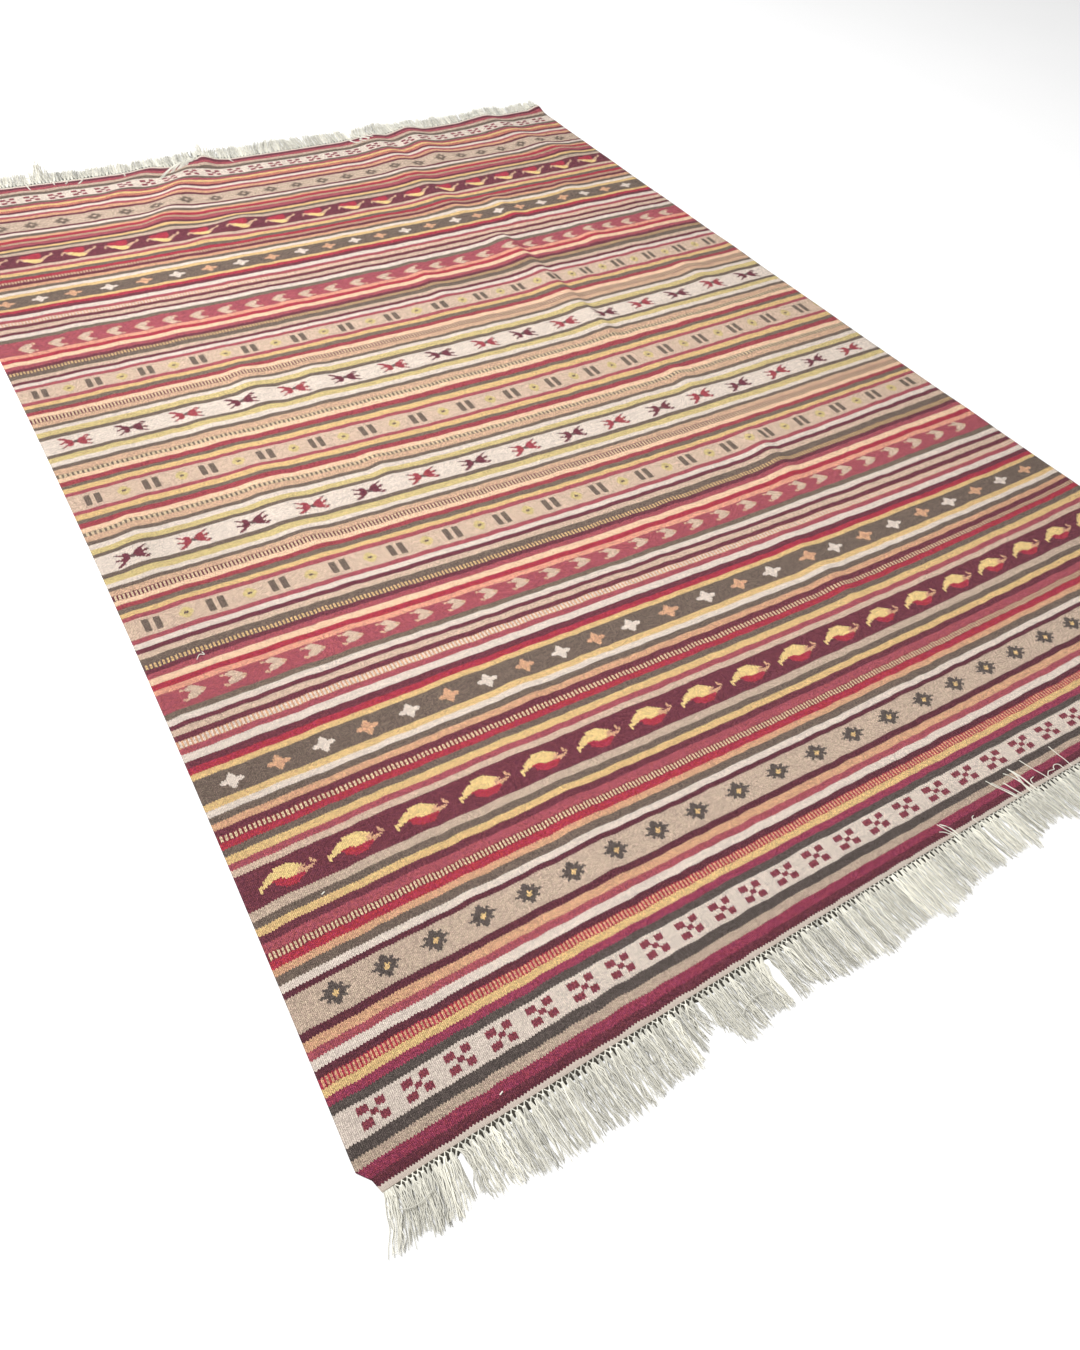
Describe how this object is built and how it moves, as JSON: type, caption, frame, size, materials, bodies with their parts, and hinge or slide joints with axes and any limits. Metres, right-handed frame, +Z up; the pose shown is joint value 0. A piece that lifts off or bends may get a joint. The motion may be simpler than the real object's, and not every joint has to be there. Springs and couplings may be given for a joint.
{
  "type": "kilim rug",
  "caption": "Flat-woven wool floor rug with crosswise stripes and small motif bands, lying flat with soft folds, with a knotted cotton fringe at each end.",
  "frame": {"origin": "on the floor, under the middle of the whole rug with its fringes", "axes": "+X along the stripes, +Y along the rug's length, from the near fringe to the far one, +Z up"},
  "size_m": [2.0164, 3.2006, 0.0299],
  "materials": {
    "woven_wool": "matt weft-faced wool weave in stripes of about a dozen yarn colours",
    "cotton_fringe": "matt undyed cotton yarn"
  },
  "bodies": {
    "root": {"kilim_cloth": "woven_wool", "fringe_near": "cotton_fringe", "fringe_far": "cotton_fringe"}
  },
  "joints": []
}
